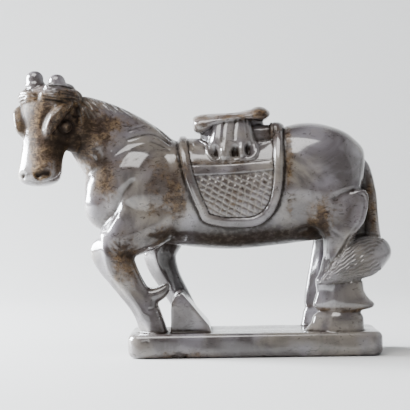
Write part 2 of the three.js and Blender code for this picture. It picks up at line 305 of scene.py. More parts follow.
@dataclass(frozen=True)
class Body:
    """The trunk, the neck and the muscles of the chest, the shoulders and the thighs."""

    trunk: tuple[Row, ...] = (
        (-66.8, 0, 61, 3, 5), (-64.5, 0, 61.5, 9, 10), (-58, 0, 63, 14.5, 15), (-48, 0, 65, 18.2, 17.5),
        (-30, 0, 64.5, 20.8, 17.6), (-10, 0, 63, 21.3, 17.6), (8, 0, 64.6, 21.6, 17.8),
        (22, 0, 68.2, 23.6, 18.6), (34, 0, 69.8, 20.4, 18.4), (41, 0, 70.3, 15, 15.5), (44, 0, 70, 7, 9),
    )
    neck: tuple[Row, ...] = (
        (-42, 0, 68, 21, 15.5), (-50, 0, 77.5, 18.4, 13), (-58.5, -0.8, 86, 15, 10.8),
        (-66.5, -3, 91.5, 12, 9.6), (-72, -6, 93, 10, 8.6),
    )
    thigh: tuple[Row, ...] = (
        (27, 8.5, 74, 15.5, 10), (28.5, 10, 65, 14.6, 9.4), (31.5, 11.4, 56, 11.4, 7.6),
        (33.2, 12, 48, 7, 5.8), (32.4, 12, 38, 4.8, 5),
    )
    chest: Row = (-58.5, 6, 60.5, 8.6, 8.5, 11)
    shoulder: Row = (-43.5, 8.6, 65, 17.6, 11, 19)
    square: float = 2.35

    def forms(self) -> list[bpy.types.Mesh]:
        """Build the body.

        Returns:
            Closed forms that overlap.
        """
        made = [loft(self.trunk, square=self.square), loft(self.neck, square=2.1)]
        for side in Side:
            s = side.value
            for x, y, z, *radii in (self.chest, self.shoulder):
                made.append(ball((x, y * s, z), tuple(radii)))
            made.append(loft(tuple((x, y * s, z, a, b) for x, y, z, a, b in self.thigh)))
        return made

    def clearance(self, x: np.ndarray, y: np.ndarray, z: np.ndarray) -> np.ndarray:
        """Tell the trunk from the saddle that lies on it.

        Args:
            x: The points' X.
            y: Their Y.
            z: Their Z.

        Returns:
            1 on the trunk and 0 on the saddle.
        """
        rows = np.array(self.trunk, dtype=float)
        centre, tall, wide = (np.interp(x, rows[:, 0], rows[:, column]) for column in (2, 3, 4))
        upward, sideways = np.abs((z - centre) / tall), np.abs(y / wide)
        radius = (upward**self.square + sideways**self.square) ** (1 / self.square)
        return np.maximum(smoothstep(1.07, 1.04, radius), smoothstep(7, 7.6, x))


@dataclass(frozen=True)
class Forelegs:
    """The forelegs, of which the near one steps forward."""

    near_arm: tuple[Row, ...] = (
        (-40, -9, 60, 16, 9), (-45, -10.5, 53, 13, 8.8), (-51, -LEG_Y, 47.5, 9.6, 7.8),
        (-57, -LEG_Y, 43, 6.8, 6.6),
    )
    near_shank: tuple[Row, ...] = (
        (-57.4, -LEG_Y, 47.4, 4.4, 4.4), (-56.8, -LEG_Y, 43.6, 7.6, 6.6), (-54.4, -LEG_Y, 37.6, 7.6, 6.5),
        (-51.6, -LEG_Y, 32.6, 6.6, 6), (-48.4, -LEG_Y, 27.6, 5.8, 5.5), (-44.8, -LEG_Y, 22, 5.2, 5.3),
        (-42, -LEG_Y, 17, 5.3, 5.7), (-40.2, -LEG_Y, 12, 5.4, 6.1), (-39.4, -LEG_Y, 8, 5.6, 6.3),
    )
    spur: tuple[Row, ...] = (
        (-45, -LEG_Y, 23.6, 3.4, 4.6), (-41.6, -LEG_Y, 24, 3.2, 4.7), (-38, -LEG_Y, 24.8, 2.9, 4.4),
        (-35.2, -LEG_Y, 26.6, 2.3, 3.6), (-34, -LEG_Y, 28.4, 1.5, 2.6), (-33.8, -LEG_Y, 29.2, 0.5, 1.2),
    )
    far_arm: tuple[Row, ...] = ((-34, 8, 60, 14, 9), (-35, 10, 50, 9.6, 7.6), (-37.3, LEG_Y, 41, 6.6, 6.4))
    far_shank: tuple[Row, ...] = (
        (-37.8, LEG_Y, 44, 3.4, 4), (-37.7, LEG_Y, 41, 6.2, 6.3), (-36.8, LEG_Y, 35.5, 6.2, 6),
        (-33, LEG_Y, 27.5, 5, 5.3), (-29, LEG_Y, 20, 4.6, 5.2), (-26.4, LEG_Y, 13.5, 5.3, 5.8),
        (-26, LEG_Y, 8, 5.6, 6.2),
    )

    def forms(self) -> list[bpy.types.Mesh]:
        """Build both forelegs as closed forms that overlap."""
        return [
            loft(self.near_arm),
            loft(self.near_shank, square=3, facets=LEG_FACETS),
            loft(self.spur, sides=32, rings=24, square=2.2),
            loft(self.far_arm),
            loft(self.far_shank, square=3, facets=LEG_FACETS),
        ]


@dataclass(frozen=True)
class Rock:
    """The pointed rock between the forefeet."""

    outline: Path2D = (
        (-33.2, 8), (-16.6, 8), (-17.8, 12.4), (-26.6, 23), (-28.4, 25.2), (-30.2, 24.8), (-32.5, 21.4),
    )
    near_y: float = -16.0
    far_y: float = 13.0

    def forms(self) -> list[bpy.types.Mesh]:
        """Build the rock as one closed form."""
        return [prism(self.outline, self.near_y, self.far_y, 0.8)]


@dataclass(frozen=True)
class HindLegs:
    """The hind legs from the thigh down, with a fin at each hock. The far one stands further forward."""

    near: tuple[Row, ...] = (
        (66.6, 28, 38, 3), (64.6, 25, 40.4, 5), (62.6, 23, 41.6, 6), (58, 22, 42.4, 6.4),
        (53, 23.4, 42, 6.4), (48, 26.6, 40.4, 6), (42.5, 28, 38, 5.6), (37, 26.8, 36.6, 5.4),
        (32, 25.2, 37.4, 5.6), (29.4, 23.6, 42.2, 6.6), (25, 24.2, 42.8, 7), (21.8, 23.4, 44.8, 7.2),
        (20, 22.8, 46.9, 7.2), (18.4, 23.4, 45.8, 7), (17.5, 25.2, 40.8, 6), (16.7, 24.8, 41, 6.2),
        (15.7, 22.8, 42.4, 7.2), (13, 22, 42.8, 7.5), (10.2, 19.8, 42.8, 7.7), (8, 20.2, 42.8, 7.7),
    )
    far: tuple[Row, ...] = (
        (66.6, 26, 36, 3), (64.6, 23, 39, 5), (62.6, 21.6, 41, 6), (58, 21.4, 41.6, 6.4), (53, 23, 41, 6.4),
        (48, 25, 38.4, 6), (42.5, 24.6, 35, 5.6), (37, 23.6, 34, 5.4), (32, 22.7, 34.4, 5.6),
        (29.4, 22.2, 39.2, 6.6), (25, 21.5, 40, 7), (20, 20.6, 43.9, 7.2), (18.4, 20.6, 42.8, 7),
        (17.5, 21.2, 38, 6.2), (16.7, 21, 38.2, 6.4), (15.7, 20.2, 39.4, 7.2), (13, 20, 39.8, 7.5),
        (10.2, 19.4, 39.8, 7.7), (8, 19.4, 39.8, 7.7),
    )
    fin: Path2D = (
        (28, 58), (34, 62.6), (38.4, 64.2), (43.2, 64.6), (44.8, 62.4), (44.6, 57), (43, 52), (40, 48),
        (36, 44.6), (30, 49),
    )
    fin_y: tuple[float, float] = (7.0, 18.2)
    fin_round: float = 1.1

    def forms(self) -> list[bpy.types.Mesh]:
        """Build both hind legs as closed forms."""
        drawn = partial(stack, square=4, rings=120, facets=LEG_FACETS)
        return [drawn(self.near, y=LEG_Y * Side.NEAR.value), drawn(self.far, y=LEG_Y * Side.FAR.value)]

    def fins(self) -> list[bpy.types.Mesh]:
        """Build the two fins as closed forms."""
        inner, outer = self.fin_y
        return [prism(self.fin, inner * side.value, outer * side.value, self.fin_round) for side in Side]


@dataclass(frozen=True)
class Tail:
    """The tail, which hangs behind the rump and sweeps its brush forward across the near hock."""

    dock: tuple[Row, ...] = (
        (40.2, 0, 76.4, 3.4, 4.4), (44, 0, 73.2, 3.1, 4.7), (46.1, 0, 66, 3, 4.9),
        (47.2, -0.5, 56, 2.9, 5.1), (47.6, -2, 48, 3.1, 5.3), (48, -4, 41, 3.4, 5.4),
    )
    web: tuple[Row, ...] = (
        (40, 0, 74, 4, 3.4), (42.5, 0, 66, 4.5, 3.6), (43.5, 0, 56, 5, 3.8), (44, -1, 47, 5.4, 4),
        (45, -3, 41, 5, 4.2),
    )
    brush: tuple[Row, ...] = (
        (52.4, -2.5, 39.6, 1.4, 1.6), (51.2, -4, 39.8, 4.7, 4.4), (47.6, -8, 39.6, 7.3, 5.8),
        (42.2, -13, 37.6, 8.0, 5.4), (35, -16.6, 34, 5.6, 4), (28.6, -18.4, 30.2, 2.6, 2.4),
        (24, -19, 28, 0.5, 0.8),
    )
    strands: int = 7
    strand_depth: float = 0.55
    strand_score: float = 0.5
    brush_box: Row = (22, 58, 24, 50)

    def forms(self) -> list[bpy.types.Mesh]:
        """Build the tail as closed forms that overlap."""
        return [loft(self.dock, square=2.4), loft(self.web, square=2.4), loft(self.brush, square=2)]

    def hair(self, points: np.ndarray) -> np.ndarray:
        """Comb strands into the brush, which run together at its tip.

        Args:
            points: Points of the skin.

        Returns:
            How deep each is cut, from 0 to 1.
        """
        rows = catmull_rom(np.array(self.brush, dtype=float), np.linspace(0, 1, 60))
        gaps = np.linalg.norm(points[:, None, [0, 2]] - rows[None, :, [0, 2]], axis=2)
        index = np.clip(gaps.argmin(1), 1, len(rows) - 2)
        along = unit(rows[index + 1][:, [0, 2]] - rows[index - 1][:, [0, 2]])
        offset = points[:, [0, 2]] - rows[index][:, [0, 2]]
        across = (along[:, 0] * offset[:, 1] - along[:, 1] * offset[:, 0]) / rows[index, 3]
        beside = np.abs(points[:, 1] - rows[index, 1]) / rows[index, 4]
        inside = (np.abs(across) < 1.12) & (beside < 1.25) & (gaps.min(1) < 9)
        turn = np.arcsin(np.clip(across, -1, 1)) / math.pi
        wander = 0.12 * np.sin(0.9 * points[:, 0] + 5 * across)
        wander = wander + 0.1 * np.sin(2.1 * points[:, 0] - 3 * across)
        line = np.abs(((self.strands * 2 * turn + wander) % 1) - 0.5) * 2
        return np.where(inside, 1 - smoothstep(0.0, 0.75, 1 - line), 0.0)


@dataclass(frozen=True)
class Saddle:
    """The padded seat, and the pleated skirt under it."""

    seat: tuple[Row, ...] = (
        (-23.2, 0, 90.8, 0.8, 7.4), (-22.4, 0, 90.9, 2.9, 10), (-20.6, 0, 91.7, 3.7, 11.6),
        (-17, 0, 93, 2.9, 12.2), (-13.4, 0, 94, 1.9, 12.4), (-9, 0, 94.5, 1.5, 12.5),
        (-5, 0, 95, 1.4, 12.6), (-1, 0, 95.5, 1.9, 12.6), (2.6, 0, 95.9, 2.6, 12.4),
        (5.4, 0, 95.6, 2.3, 11.8), (7.1, 0, 95.1, 0.9, 9),
    )
    skirt: tuple[Row, ...] = (
        (95, -15, -0.8, 10.4), (91, -15.8, 0, 12.2), (86, -17, 1.4, 13.8), (81.5, -18.2, 3, 15),
        (78.8, -18.8, 3.8, 15.8), (77.2, -18.6, 3.6, 15.9),
    )
    body: tuple[Row, ...] = ((94, -20, 4.6, 8.6), (86, -20.6, 5.4, 11), (78, -21.6, 6.4, 12.6))
    pad: tuple[Row, ...] = (
        (90.7, -4, 10.8, 6.4), (90.2, -5, 11.6, 8.8), (88, -6, 12, 10.4), (84, -6, 12, 11),
        (80, -6, 12, 11.2),
    )
    droop: float = 0.011

    def forms(self) -> list[bpy.types.Mesh]:
        """Build the saddle.

        Returns:
            Closed forms that overlap.
        """
        seat = loft(self.seat, square=2.7)
        for vertex in seat.vertices:
            vertex.co.z -= self.droop * vertex.co.y**2
        others = [stack(self.body, square=3), stack(self.pad, square=4)]
        return [seat, stack(self.skirt, sides=96, square=5), *others]


@dataclass(frozen=True)
class Head:
    """The head with its ears and forelock, drawn facing +X with its left side towards +Y."""

    rows: tuple[Row, ...] = (
        (107.6, 2, 7.6, 3), (106.4, -1.5, 10.4, 6.6), (103.5, -4.6, 12.8, 8.6), (99.5, -6.8, 14.5, 9.8),
        (95, -8, 15.3, 10.4), (90.5, -8, 15.2, 10.2), (86, -5.6, 15.2, 9.2), (82, 0.6, 15.8, 8.4),
        (78, 3.6, 16.8, 8.5), (74.4, 4.4, 17.8, 8.9), (71, 5.2, 18, 8.7), (68.8, 6.6, 16.8, 7),
        (67.4, 9, 13.6, 3),
    )
    brow: tuple[Row, ...] = (
        (3.4, 10.4, 100, 0.6, 0.7), (6.8, 11, 99, 1.8, 2.0), (10.2, 10.6, 97.2, 2.4, 2.5),
        (12.6, 9.5, 94.6, 2.6, 2.6), (13.9, 8.2, 91.6, 2.4, 2.4), (14.5, 7, 88.8, 1.7, 1.8),
        (14.4, 6.2, 86.6, 0.5, 0.6),
    )
    cheek: Row = (-2.4, 6.6, 89.4, 8, 4.8, 9.2)
    eye: Row = (6.9, 9.7, 90.6, 2.7, 2.1, 2.4)
    socket: Row = (-72.4, 90.4, 3.5, 3.3, 1)
    near_lock: tuple[Row, ...] = (
        (13.4, 1.8, 102.6, 0.8, 1.2), (12.6, 3.4, 102.6, 2.0, 2.2), (10.6, 7, 102.8, 2.3, 2.8),
        (6.4, 9.2, 102.6, 2.2, 3.2), (1, 9.6, 102, 1.9, 3.4), (-4, 8.2, 101, 1.5, 2.8),
        (-9, 5, 99.6, 0.6, 1.4),
    )
    far_lock: tuple[Row, ...] = (
        (13.6, 0.6, 101.4, 0.8, 1.0), (12.6, -2.2, 102, 2.2, 2.3), (11.6, -5.4, 102.2, 2.7, 2.9),
        (9.8, -8, 102.4, 2.9, 3.2), (6, -9, 102.4, 2.5, 3.3), (1, -9.2, 102, 1.9, 3.4),
        (-4, -7.8, 101, 1.5, 2.8), (-9, -4.4, 99.6, 0.6, 1.4),
    )
    band: tuple[Row, ...] = (
        (11.4, 2.6, 106, 0.5, 0.5), (10.4, 4.4, 106.2, 1.7, 1.3), (7.4, 7, 106.4, 1.9, 1.5),
        (2.6, 8.2, 106, 1.8, 1.6), (-1.6, 7.4, 105.2, 0.8, 0.9),
    )
    ears: tuple[Row, ...] = (
        (7.2, -5.3, 109.8, 3.5, 3.9, 3.4), (7.2, -5.0, 107, 4, 4.5, 3.4), (7.0, 5.5, 108, 3.3, 3.5, 3.2),
        (6.6, 5.4, 106.4, 3.9, 4.3, 2.6),
    )

    @property
    def place(self) -> Matrix:
        """Where the head goes on the neck."""
        return Matrix.Translation((HEAD_X, HEAD_Y, 0)) @ Matrix.Rotation(math.pi + HEAD_TURN, 4, "Z")

    def skull(self) -> list[bpy.types.Mesh]:
        """Build the skull with the orbits and the cheeks.

        Returns:
            Closed forms that overlap.
        """
        made = [stack(self.rows, square=2.7, rings=80, place=self.place)]
        u, v, z, *radii = self.cheek
        for s in (-1, 1):
            made.append(ball((u, v * s, z), tuple(radii), self.place))
            ridge = tuple((bu, bv * s, bz, thick, wide) for bu, bv, bz, thick, wide in self.brow)
            made.append(loft(ridge, sides=32, rings=32, square=2, place=self.place))
        return made

    def features(self) -> list[bpy.types.Mesh]:
        """Build the eyes, the ears and the forelock.

        Returns:
            Closed forms that overlap.
        """
        place = self.place
        flat = partial(loft, across=(0, 0, 1), place=place)
        made = [flat(rows, square=2.2) for rows in (self.near_lock, self.far_lock)]
        made.append(flat(self.band, square=2))
        for u, v, z, *radii in self.ears:
            made.append(ball((u, v, z), tuple(radii), place))
        for s in (-1, 1):
            u, v, z, *radii = self.eye
            made.append(ball((u, v * s, z), tuple(radii), place))
        return made

    def side_view(self, points: np.ndarray, normals: np.ndarray) -> tuple[np.ndarray, np.ndarray]:
        """Fold the head's far half over its near half, and look from the horse's left.

        Args:
            points: Points on the head.
            normals: Their normals.

        Returns:
            Each point's X in that view, and how squarely it faces the viewer.
        """
        turn = np.array(self.place.to_3x3())
        local = (points - np.array(self.place.translation)) @ turn
        facing = normals @ turn
        side = np.where(local[:, 1] < 0, -1.0, 1.0)
        x = HEAD_X + local[:, 0] * turn[0, 0] + np.abs(local[:, 1]) * turn[0, 1]
        return x, -(facing[:, 0] * turn[1, 0] + facing[:, 1] * side * turn[1, 1])


# The skin and the lines cut into it


@dataclass(frozen=True)
class Cut:
    """An incised line, drawn over the side view in X and Z."""

    path: Path2D
    width: float = 0.45
    depth: float = 0.35

    def at(self, x: np.ndarray, z: np.ndarray) -> np.ndarray:
        """Measure the line's depth, which tapers towards its ends.

        Args:
            x: The points' X.
            z: Their Z.

        Returns:
            The depth at each point.
        """
        depth = np.zeros(len(x))
        rows = np.array(self.path, dtype=float)
        reach = 3 * self.width
        low, high = rows.min(0) - reach, rows.max(0) + reach
        near = np.flatnonzero((x > low[0]) & (x < high[0]) & (z > low[1]) & (z < high[1]))
        if not len(near):
            return depth
        line = catmull_rom(rows, np.linspace(0, 1, 8 * len(rows)))
        points = np.stack([x[near], z[near]], 1)
        closest, along = np.full(len(near), 1e9), np.zeros(len(near))
        for k, (a, b) in enumerate(zip(line[:-1], line[1:])):
            span = b - a
            u = np.clip((points - a) @ span / max(span @ span, 1e-9), 0, 1)
            gap = np.linalg.norm(points - (a + u[:, None] * span), axis=1)
            better = gap < closest
            closest[better], along[better] = gap[better], ((k + u) / (len(line) - 1))[better]
        ends = np.minimum(smoothstep(-0.02, 0.12, along), smoothstep(1.02, 0.88, along))
        depth[near] = self.depth * bell(closest, self.width) * ends
        return depth


@dataclass(frozen=True)
class Spot:
    """A round mark on the side view in X and Z: a hollow, or with a depth below 0 a swelling."""

    x: float
    z: float
    wide: float
    tall: float
    depth: float

    def at(self, x: np.ndarray, z: np.ndarray) -> np.ndarray:
        """Measure the mark's depth at points of the side view."""
        out = ((x - self.x) / self.wide) ** 2 + ((z - self.z) / self.tall) ** 2
        return self.depth * np.exp(-(out**2))


@dataclass(frozen=True)
class Ring:
    """A circle cut on the side view in X and Z, or with a depth below 0 a raised circle."""

    x: float
    z: float
    radius: float
    width: float
    depth: float

    def at(self, x: np.ndarray, z: np.ndarray) -> np.ndarray:
        """Measure the circle's depth at points of the side view."""
        off = np.hypot(x - self.x, z - self.z) - self.radius
        return self.depth * bell(off, self.width)


class Skin:
    """The carving's skin as arrays, in millimetres."""

    def __init__(self, mesh: bpy.types.Mesh) -> None:
        """Read a mesh.

        Args:
            mesh: The mesh, which write changes.
        """
        self.mesh = mesh
        count = len(mesh.vertices)
        self.points = np.empty(count * 3, dtype=np.float32)
        mesh.vertices.foreach_get("co", self.points)
        self.points = self.points.reshape(-1, 3).astype(float)
        ends = np.empty(len(mesh.edges) * 2, dtype=np.int32)
        mesh.edges.foreach_get("vertices", ends)
        self.a, self.b = ends.reshape(-1, 2).T
        self.degree = np.bincount(self.a, minlength=count) + np.bincount(self.b, minlength=count)

    def write(self) -> None:
        """Put the points back into the mesh."""
        self.mesh.vertices.foreach_set("co", self.points.astype(np.float32).ravel())
        self.mesh.update()

    def normals(self) -> np.ndarray:
        """Read the points' normals.

        Returns:
            One unit vector for each.
        """
        self.write()
        found = np.empty(len(self.points) * 3, dtype=np.float32)
        self.mesh.vertex_normals.foreach_get("vector", found)
        return found.reshape(-1, 3).astype(float)

    def around(self, values: np.ndarray) -> np.ndarray:
        """Average each point's neighbours.

        Args:
            values: One row or number a point.

        Returns:
            The averages.
        """
        count = len(values)
        total = [
            np.bincount(self.a, column[self.b], count) + np.bincount(self.b, column[self.a], count)
            for column in values.reshape(count, -1).T
        ]
        return (np.stack(total, 1) / self.degree[:, None]).reshape(values.shape)

    def polish(self, times: int, mask: np.ndarray | float = 1.0) -> None:
        """Smooth the skin.

        Args:
            times: How often.
            mask: How much, from 0 to 1.
        """
        weight = 0.5 * (mask[:, None] if isinstance(mask, np.ndarray) else mask)
        for _ in range(times):
            self.points += weight * (self.around(self.points) - self.points)

    def push(self, amount: np.ndarray) -> None:
        """Move each point outwards by its own amount."""
        self.points += self.normals() * amount[:, None]


def fuse(forms: list[bpy.types.Mesh], voxel: float) -> bpy.types.Mesh:
    """Join overlapping closed forms into one skin.

    Args:
        forms: The forms, which are removed.
        voxel: The size of the skin's cells.

    Returns:
        The skin.
    """
    bm = bmesh.new()
    for form in forms:
        bm.from_mesh(form)
        bpy.data.meshes.remove(form)
    mesh = as_mesh(bm, None)
    carrier = bpy.data.objects.new("carrier", mesh)
    bpy.context.scene.collection.objects.link(carrier)
    remesh = carrier.modifiers.new("Fuse", "REMESH")
    remesh.mode = "VOXEL"
    remesh.voxel_size = voxel
    return applied(carrier)


def applied(carrier: bpy.types.Object) -> bpy.types.Mesh:
    """Apply an object's modifiers and remove the object.

    Args:
        carrier: The object.

    Returns:
        The mesh they make.
    """
    graph = bpy.context.evaluated_depsgraph_get()
    mesh = bpy.data.meshes.new_from_object(carrier.evaluated_get(graph))
    old = carrier.data
    bpy.data.objects.remove(carrier)
    bpy.data.meshes.remove(old)
    return mesh


@dataclass(frozen=True)
class SaddleCloth:
    """The saddle cloth, as relief on both sides of the trunk: a border, a band and a field of lattice."""

    outline: Path2D = (
        (-29.4, 98), (-29.2, 86), (-28.4, 78), (-26.6, 70), (-24.2, 63), (-21.8, 57.6), (-19.6, 53.4),
        (-14.6, 51.6), (-8, 50.8), (0, 51.2), (5, 53.4), (8.6, 57.4), (10.6, 63), (11.6, 70.5), (12, 80),
        (12, 98),
    )
    border: float = 3.5
    thickness: float = 1.1
    border_rise: float = 0.9
    band_rise: float = 0.45
    band_ends: tuple[float, float] = (3.9, 3.5)
    groove: float = 0.28
    mesh_pitch: float = 2.5
    mesh_depth: float = 0.5
    mesh_line: float = 0.25

    def edge_distance(self, x: np.ndarray, z: np.ndarray) -> np.ndarray:
        """Measure how far inside the cloth's outline points are.

        Args:
            x: The points' X.
            z: Their Z.

        Returns:
            The distances, which are below 0 outside it.
        """
        corners = catmull_rom(np.array(self.outline, dtype=float), np.linspace(0, 1, 90))
        points = np.stack([x, z], 1)
        gap, inside = np.full(len(x), 1e9), np.zeros(len(x), dtype=bool)
        closed = np.vstack([corners, corners[:1]])
        for index, (a, b) in enumerate(zip(closed[:-1], closed[1:])):
            crosses = (a[1] > z) != (b[1] > z)
            with np.errstate(divide="ignore", invalid="ignore"):
                inside ^= crosses & (x < (b[0] - a[0]) * (z - a[1]) / (b[1] - a[1]) + a[0])
            if index < len(corners) - 1:
                span = b - a
                u = np.clip((points - a) @ span / (span @ span), 0, 1)
                gap = np.minimum(gap, np.linalg.norm(points - (a + u[:, None] * span), axis=1))
        return np.where(inside, gap, -gap)

    def band_top(self, x: np.ndarray) -> np.ndarray:
        """Find the height of the band's top edge at each X."""
        return 74.6 + 0.0022 * np.maximum(x + 20, 0) ** 2

    def relief(self, x: np.ndarray, z: np.ndarray) -> np.ndarray:
        """Raise the cloth above the trunk.

        Args:
            x: The points' X.
            z: Their Z.

        Returns:
            The height at each point.
        """
        d = self.edge_distance(x, z)
        cloth = smoothstep(-0.25, 0.35, d)
        across = np.clip(d / self.border, 0, 1)
        roll = np.sqrt(np.clip(1 - (2 * across - 1) ** 2, 0, 1)) * ((d > 0) & (d < self.border))
        field = smoothstep(self.border, self.border + 0.5, d)
        from_top = self.band_top(x) - z
        band = smoothstep(-0.2, 0.2, from_top) * smoothstep(*self.band_ends, from_top)
        lines = bell(from_top, self.groove) + bell(from_top - 3.8, self.groove)
        roll *= smoothstep(91, 88, z)
        height = self.thickness * cloth + self.border_rise * roll + self.band_rise * band * field
        height -= 0.2 * lines * field + self.mesh_depth * self.lattice(x, z)
        height -= 0.15 * bell(d + 0.7, 0.6) + 0.3 * bell(d - self.border - 0.2, 0.3)
        front = smoothstep(-16, -20, x) * smoothstep(80, 74, z)
        return height - 0.25 * bell(d - 1.1, self.groove) * front

    def lattice(self, x: np.ndarray, z: np.ndarray) -> np.ndarray:
        """Cut two sets of crossing grooves into the field.

        Args:
            x: The points' X.
            z: Their Z.

        Returns:
            How deep each point is cut, from 0 to 1.
        """
        depth = np.zeros(len(x))
        for degrees, pitch in ((76, self.mesh_pitch), (-27, self.mesh_pitch * 0.86)):
            lean = math.radians(degrees)
            across = -x * math.sin(lean) + z * math.cos(lean)
            wobble = 0.3 * np.sin(0.31 * x + 0.17 * z) + 0.12 * np.sin(0.9 * z - 0.5 * x)
            phase = np.abs(((across + wobble) / pitch) % 1 - 0.5) * pitch
            depth = np.maximum(depth, bell(phase, self.mesh_line))
        inside = smoothstep(self.border + 0.3, self.border + 0.8, self.edge_distance(x, z))
        return depth * inside * smoothstep(4.1, 4.5, self.band_top(x) - z)


